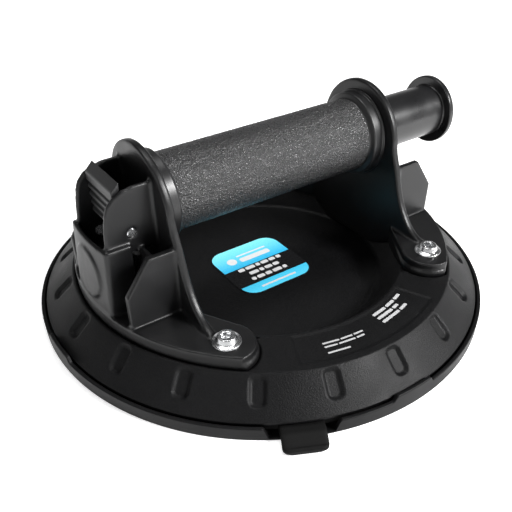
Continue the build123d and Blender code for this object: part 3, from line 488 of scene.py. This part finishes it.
roof = PAD_Z + 1.4
plate_edge = PAD_R - 12
pad_outline = softened([(0, roof, 0), (PAD_R - 11, roof, 1.0), (PAD_R - 8, PAD_Z + 0.1, 0.6),
                        (PAD_R - 1.6, PAD_Z, 1.0), (PAD_R, PAD_Z + 1.2, 0.8), (PAD_R, PAD_RIM_Z, 0.6),
                        (plate_edge, PAD_RIM_Z, 0), (plate_edge, PLATE_Z - 1.5, 0), (0, PLATE_Z - 1.5, 0)], 4)
turned("pad_moulding", pad_outline, pad_rubber, 480, slot="pad_rubber", stands_for=("suction_pad",))


def pull_tab():
    """Rubber tongue from the pad's rim, over the cover's edge and down to a thickened end."""
    top, end = PAD_RIM_Z - 0.9, TAB_T * 0.9
    path = softened([(PAD_R - 4, top, 0), (COVER_R + 1.2, top, 4.0), (COVER_R + 4.0, top - 1.3, 2.0),
                     (TAB_REACH - 1.6, end + 0.7, 2.0), (TAB_REACH, end + 0.5, 0)], 5)
    path = spaced(path, 0.35)
    columns = 41
    rows = []
    for under_side in (0, 1):
        for point in path:
            left = TAB_REACH - point.x
            inset = max(TAB_CORNER - left, 0.0)
            narrow = TAB_CORNER - math.sqrt(max(TAB_CORNER ** 2 - inset ** 2, 0.0))
            lift = 0.35 * math.exp(-((left - 1.2) / 0.7) ** 2)
            for k in range(columns):
                v = -1 + 2 * k / (columns - 1)
                round_off = 0.5 * abs(v) ** 14
                z = point.y - TAB_T * 0.85 + round_off if under_side else point.y + lift - round_off
                rows.append((point.x, v * (TAB_HALF - narrow), z))
    count = len(path)
    faces = []
    for base in (0, count * columns):
        corner_points = [base + i * columns + k for i in range(count - 1) for k in range(columns - 1)]
        faces += [[at, at + 1, at + columns + 1, at + columns] for at in corner_points]
    rim = ([i * columns for i in range(count)] + [(count - 1) * columns + k for k in range(1, columns)]
           + [i * columns + columns - 1 for i in range(count - 2, -1, -1)])
    for here, there in zip(rim, rim[1:]):
        faces.append([here, there, there + count * columns, here + count * columns])
    spin = Matrix.Rotation(TAB_ANGLE, 3, "Z")
    return piece("pull_tab", [spin @ Vector(p) for p in rows], faces, pad_rubber, slot="pad_rubber")


pull_tab()


# ------------------------------------------------------------------ end frames, lever and screws

softened_copy("left_frame_moulding", "left_frame", 0.62, 3, frame_abs, "cup")
softened_copy("right_frame_moulding", "right_frame", 0.58, 3, frame_abs, "cup")
softened_copy("thumb_lever_moulding", "thumb_lever", 0.28, 3, lever_abs, "lever")


def hex_socket(grid, rings, half):
    """Pulls the rings of a socket out to a hexagon of this half width."""
    turn = np.arctan2(grid[..., 1], grid[..., 0])
    reach = half / np.cos((turn + math.pi / 6) % (math.pi / 3) - math.pi / 6)
    share = np.where((np.arange(len(grid)) < rings)[:, None], reach / half, 1.0)
    grid = grid.copy()
    grid[..., 0] *= share
    grid[..., 1] *= share
    return grid


def frame_screws():
    """Four flanged button-head screws with a hexagon socket."""
    half = HEX_ACROSS / 2
    socket = softened([(0, HEAD_H - HEX_DEPTH, 0), (half - 0.05, HEAD_H - HEX_DEPTH + 0.1, 0.15),
                       (half, HEAD_H - 0.2, 0.1)], 2)
    head = softened([(half + 0.35, HEAD_H, 0.12), (3.6, HEAD_H, 0.5), (4.3, 1.25, 0.5),
                     (HEAD_R - 0.2, 0.75, 0.3), (HEAD_R, 0.1, 0.1), (SHANK_R, 0.0, 0),
                     (SHANK_R, -SHANK_L, 0.3), (0, -SHANK_L, 0)], 4)
    outline = socket + [Vector((half + 0.1, HEAD_H))] + head
    one = hex_socket(turned_grid(outline, 96), len(socket) + 2, half)
    verts, faces = [], []
    for sx in (-1, 1):
        for sy in (-1, 1):
            base = len(verts)
            spin = 0.5 * sx + 0.9 * sy
            c, s = math.cos(spin), math.sin(spin)
            for x, y, z in one.reshape(-1, 3):
                verts.append((sx * SCREW_X + x * c - y * s, sy * SCREW_Y + x * s + y * c, FOOT_TOP + z))
            faces += [[base + v for v in face] for face in grid_faces(*one.shape[:2])]
    piece("flanged_screws", verts, faces, screw_steel, slot="screw_steel", stands_for=("frame_screws",))


frame_screws()


# ------------------------------------------------------------------ grip and plunger

def leather(grid):
    """Lays the grip along X and gives its middle a moulded leather grain."""
    laid = along_x(grid)
    length = GRIP_END - 8.0
    for ring in range(laid.shape[0]):
        if abs(laid[ring, 0, 0]) > length or np.hypot(grid[ring, 0, 0], grid[ring, 0, 1]) < GRIP_R - 0.5:
            continue
        for column in range(laid.shape[1]):
            point = laid[ring, column]
            near = noise.voronoi(Vector(point) / PEBBLE)[0]
            lift = min(near[1] - near[0], 0.35) * 0.6 - 0.15
            out = Vector((0.0, point[1], point[2] - GRIP_Z)).normalized()
            laid[ring, column] = Vector(point) + out * lift
    return laid


collar_r = (GRIP_HIGH - GRIP_LOW) / 2
neck_r = collar_r - 1.8
half_grip = [(GRIP_R - GRIP_WALL, GRIP_END, 0), (collar_r, GRIP_END, 0.4), (neck_r, GRIP_END - 1.2, 0.6),
             (neck_r, GRIP_END - 5.5, 0.8), (GRIP_R, GRIP_END - 6.6, 1.0)]
grip_outline = softened(half_grip + [(r, -x, radius) for r, x, radius in reversed(half_grip)], 4)
grip = turned("grip_moulding", spaced(grip_outline, 0.38), grip_abs, 272, leather, slot="grip_plastic",
              stands_for=("grip",))
grip.data.materials.append(collar_abs)
for face in grip.data.polygons:
    face.material_index = int(abs(face.center.x) > (GRIP_END - 7.0) * MM)

bore = PLUNGER_R - PLUNGER_WALL
flange_x = PLUNGER_X1 - FLANGE_T
gate_x = PLUNGER_X1 - 0.3  # small sunk disc in the middle of the flange
plunger_outline = softened([(bore, PLUNGER_X0, 0), (PLUNGER_R, PLUNGER_X0, 0.3), (PLUNGER_R, flange_x, 0.9),
                            (FLANGE_R, flange_x, 0.8), (FLANGE_R, PLUNGER_X1, 1.0), (4.0, PLUNGER_X1, 0.4),
                            (3.6, gate_x, 0.2), (0, gate_x, 0)], 6)
plunger_outline += [Vector(p) for p in [(0, flange_x), (bore, flange_x), (bore, PLUNGER_X0)]]
turned("plunger_moulding", plunger_outline, plunger_abs, 256, along_x, body="plunger",
       slot="plunger_plastic", stands_for=("plunger",))


def coil(name, node, joint, mat):
    """A spring's wire, copied from its CAD part; the fixed end and axis read from its joint are worked out
    but not used.
    """
    spec = next(j for j in frame["record"]["behaviour"]["joints"] if j["name"] == joint)
    along = spec["deforming_nodes"][0]["mode"][-1]
    fixed = spec["deforming_nodes"][0]["fixed_end_" + along + "_m"]
    lane = "xyz".index(along)
    low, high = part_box(node)
    axis, anchor = [0, 0, 0], [(a + b) / 2 for a, b in zip(low, high)]
    axis[lane], anchor[lane] = 1, fixed
    made = bpy.data.objects.new(name, nodes[node].data.copy())
    bpy.context.collection.objects.link(made)
    dress(made, mat, "cup", (node,))
    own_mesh(made)


coil("return_spring_coil", "return_spring", "plunger_stroke", plate_zinc)
coil("valve_spring_coil", "valve_spring", "valve_lift", plate_zinc)


# ------------------------------------------------------------------ label and prints

def plate(name, points, low, high, mat, **placing):
    """Flat piece with an outline of these points, between two heights."""
    count = len(points)
    verts = [(p.x, p.y, low) for p in points] + [(p.x, p.y, high) for p in points]
    faces = [list(range(count))[::-1], list(range(count, 2 * count))]
    faces += [[k, (k + 1) % count, count + (k + 1) % count, count + k] for k in range(count)]
    return piece(name, verts, faces, mat, **placing)


def bar(x0, x1, y0, y1, radius):
    """Outline of a rectangle with round corners."""
    return softened([(x0, y0, radius), (x1, y0, radius), (x1, y1, radius), (x0, y1, radius)], 5)


def label():
    """Film with a round-cornered outline, two printed bands and rows of generic bars for words."""
    ink = LABEL_TOP + 0.02
    x0, x1 = LABEL_X0 + LABEL_EDGE, LABEL_X1 - LABEL_EDGE
    y0, y1 = LABEL_Y0 + LABEL_EDGE, LABEL_Y1 - LABEL_EDGE
    plate("label_film", bar(LABEL_X0, LABEL_X1, LABEL_Y0, LABEL_Y1, LABEL_CORNER), DISH_Z, LABEL_TOP,
          label_black, slot="label_print", stands_for=("label",))
    inner = LABEL_CORNER - LABEL_EDGE
    far = softened([(x0, FAR_BAND_Y, 0.2), (x1, FAR_BAND_Y, 0.2), (x1, y1, inner), (x0, y1, inner)], 7)
    plate("label_far_band", far, LABEL_TOP, ink, label_far, slot="label_print")
    near = softened([(x0, y0, inner), (x1, y0, inner), (x1, NEAR_BAND_Y, 0.2), (x0, NEAR_BAND_Y, 0.2)], 7)
    plate("label_near_band", near, LABEL_TOP, ink, label_near, slot="label_print")
    boxes = []
    for row, (half, y) in enumerate([(12.5, 1.4), (9.0, -3.1), (10.5, -7.6)]):
        x = -half
        word = 0
        while x < half - 0.5:
            length = min((3.4, 5.2, 2.3, 4.1)[(row + word) % 4], half - x)
            boxes.append((x, x + length, y - 1.2, y + 1.2))
            x += length + 0.8
            word += 1
    boxes += [(-10.0, 10.0, -15.6, -14.4), (-6.5, 11.0, 7.2, 10.6), (-6.5, 11.0, 12.4, 13.4)]
    prints("label_words", boxes, ink, ink + INK_T, white_ink, "label_print")
    middle, radius = Vector((-10.8, 10.0)), 2.6
    turns = np.linspace(0, 2 * math.pi, 48)[:-1]
    ring = [middle + Vector((math.cos(a), math.sin(a))) * radius for a in turns]
    plate("label_mark", ring, ink, ink + INK_T, white_ink, slot="label_print")


def prints(name, boxes, low, high, mat, slot, place=None):
    """Short round-ended bars of ink, as one piece."""
    verts, faces = [], []
    for x0, x1, y0, y1 in boxes:
        outline = bar(x0, x1, y0, y1, 0.3 * min(x1 - x0, y1 - y0))
        if place:
            outline = [place(p) for p in outline]
        base, count = len(verts), len(outline)
        verts += [(p.x, p.y, low) for p in outline] + [(p.x, p.y, high) for p in outline]
        faces += [[base + k for k in range(count)][::-1], [base + count + k for k in range(count)]]
        faces += [[base + k, base + (k + 1) % count, base + count + (k + 1) % count, base + count + k]
                  for k in range(count)]
    return piece(name, verts, faces, mat, slot=slot)


label()


def panel_prints():
    """Short bars on the rim's print panel, in three larger and three smaller rows."""
    def place(p):
        """Bends a row along the panel: p.x runs round the rim, p.y out from its middle."""
        radius = PANEL_R + p.y
        turn = -math.pi / 2 + p.x / PANEL_R
        return Vector((radius * math.cos(turn), radius * math.sin(turn)))

    # Each block: where its rows start, a letter's width, half a row's height, the gap between
    # words, and its rows
    blocks = [(8.0, 1.25, 0.75, 0.9, [(5.4, (7, 5, 4)), (2.6, (8, 3)), (-0.2, (9, 4))]),
              (-22.0, 0.95, 0.45, 0.7, [(1.2, (8, 6, 5)), (-1.0, (6, 8, 4)), (-4.6, (10,))])]
    boxes = []
    for left, letter, half, gap, rows in blocks:
        for y, words in rows:
            x = left
            for word in words:
                boxes.append((x, x + word * letter, -y - half, -y + half))
                x += word * letter + gap
    low = RIM_Z - PANEL_DEPTH
    prints("panel_words", boxes, low, low + 0.04, panel_ink, "shell_plastic", place)


panel_prints()


# ------------------------------------------------------------------ floor, lights and camera

def softbox(name, at, aim, width, height, watts):
    """Rectangular studio light that faces a point."""
    lamp = bpy.data.lights.new(name, "AREA")
    lamp.shape = "RECTANGLE"
    lamp.size, lamp.size_y, lamp.energy = width, height, watts
    box = bpy.data.objects.new(name, lamp)
    bpy.context.collection.objects.link(box)
    box.location = at
    box.rotation_euler = (Vector(aim) - Vector(at)).to_track_quat("-Z", "Y").to_euler()


def studio_floor():
    """White acrylic table, lit softly from below as well as from above."""
    bpy.ops.mesh.primitive_plane_add(size=8.0, location=(0, 0, 0))
    floor = bpy.context.object
    floor.name = "studio_floor"
    mat, bsdf, place = start("opal_white_acrylic", Roughness=0.9, Emission_Strength=0.64)
    bsdf.inputs["Emission Color"].default_value = (1.0, 1.0, 1.0, 1.0)
    fibre = add(mat, "TexNoise", {"Vector": place, "Scale": per_mm(40.0)})
    tint = add(mat, "Mix", {"Factor": fibre.outputs["Fac"], 6: linear("f4f4f4"), 7: linear("fafafa")},
               data_type="RGBA")
    wire(mat, bsdf, Base_Color=tint.outputs[2])
    floor.data.materials.append(mat)


def studio_camera():
    """Seen from the front left and well above, with the frame shifted up over the object."""
    azimuth, elevation = math.radians(-35.45), math.radians(40.41)
    back = Vector((math.sin(azimuth) * math.cos(elevation), -math.cos(azimuth) * math.cos(elevation),
                   math.sin(elevation)))
    target = Vector((2.4, 0.0, -37.8)) * MM
    lens = bpy.data.cameras.new("studio_camera")
    lens.lens = 45.52
    lens.sensor_width = 36.0
    lens.shift_x = -0.0179
    lens.shift_y = 0.1512
    lens.clip_start = 0.01
    camera = bpy.data.objects.new("studio_camera", lens)
    bpy.context.collection.objects.link(camera)
    camera.location = target + back * 0.35216
    camera.rotation_euler = (-back).to_track_quat("-Z", "Y").to_euler()
    bpy.context.scene.camera = camera


def studio_world():
    """A pale wall low down all round, under a dim ceiling."""
    world = bpy.data.worlds.new("studio")
    bpy.context.scene.world = world
    world.use_nodes = True
    way = add(world, "TexCoord")
    rise = add(world, "SeparateXYZ", {"Vector": way.outputs["Generated"]})
    wall = add(world, "MapRange", {"Value": rise.outputs["Z"], "From Min": 0.12, "From Max": 0.34,
                                   "To Min": 0.9, "To Max": 0.09}, interpolation_type="SMOOTHSTEP")
    level = wall.outputs[0]
    grey = add(world, "CombineColor", {"Red": level, "Green": level, "Blue": level})
    world.node_tree.links.new(grey.outputs[0], world.node_tree.nodes["Background"].inputs["Color"])


bpy.context.scene.view_settings.view_transform = "Standard"
studio_world()
studio_floor()
studio_camera()
softbox("front_right_softbox", (0.46, -0.72, 0.62), (0, 0, 0.05), 0.26, 0.20, 17.0)
softbox("left_softbox", (-0.80, -0.30, 0.70), (0, 0, 0.04), 0.3, 0.3, 1.5)
softbox("back_top_softbox", (0.1, 0.25, 1.2), (0, 0, 0.04), 0.7, 0.3, 5.0)
